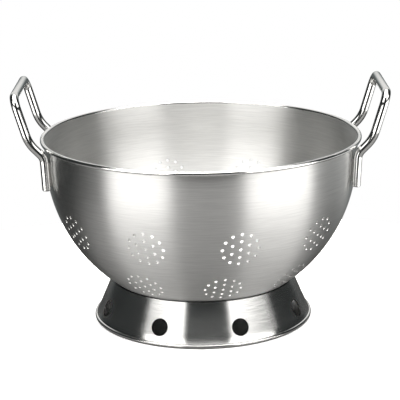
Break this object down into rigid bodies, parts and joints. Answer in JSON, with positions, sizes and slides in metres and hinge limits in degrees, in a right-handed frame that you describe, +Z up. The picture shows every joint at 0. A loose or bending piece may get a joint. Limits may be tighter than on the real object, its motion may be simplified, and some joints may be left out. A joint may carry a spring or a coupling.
{
  "type": "colander",
  "caption": "Round footed colander in stainless steel with rosettes of drain holes, a rolled rim, a vented foot ring and two upright rod handles.",
  "frame": {"origin": "on the floor under the middle of the bowl", "axes": "+Z up, +X towards the right handle, -Y the front"},
  "size_m": [0.425, 0.37, 0.2785],
  "materials": {
    "bowl_steel": "brushed round the bowl",
    "foot_steel": "brushed round the foot",
    "rod_steel": "satin, along the rod",
    "weld_steel": "as welded"
  },
  "bodies": {
    "root": {"bowl": "bowl_steel", "foot_ring": "foot_steel", "foot_welds": "weld_steel", "handle_left": "rod_steel", "handle_left_welds": "weld_steel", "handle_right": "rod_steel", "handle_right_welds": "weld_steel"}
  },
  "joints": []
}
